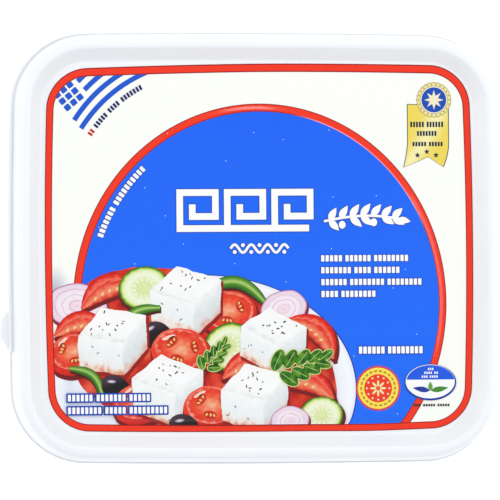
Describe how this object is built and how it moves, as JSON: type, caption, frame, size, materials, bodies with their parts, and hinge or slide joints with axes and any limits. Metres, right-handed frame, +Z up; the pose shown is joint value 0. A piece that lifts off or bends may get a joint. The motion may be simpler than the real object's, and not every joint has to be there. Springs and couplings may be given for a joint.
{
  "type": "shut plastic food tub",
  "caption": "Rectangular white tub with a press-fit lid, a tear strip with pull tab and a printed panel, shut and full of cheese in brine.",
  "frame": {"origin": "middle of the tub's flat base, on the surface that it stands on", "axes": "+X runs along the lid's length to the right as the print reads, +Y to its far side, +Z up"},
  "size_m": [0.185, 0.158, 0.085],
  "materials": {
    "tub_plastic": "white moulded polypropylene, satin, slightly translucent",
    "lid_plastic": "white moulded polypropylene, semi-gloss, with an in-mould print on the sunk panel",
    "strip_plastic": "white moulded polypropylene, satin"
  },
  "bodies": {
    "root": {"tub": "tub_plastic", "lid": "lid_plastic", "tear_strip": "strip_plastic"}
  },
  "joints": []
}
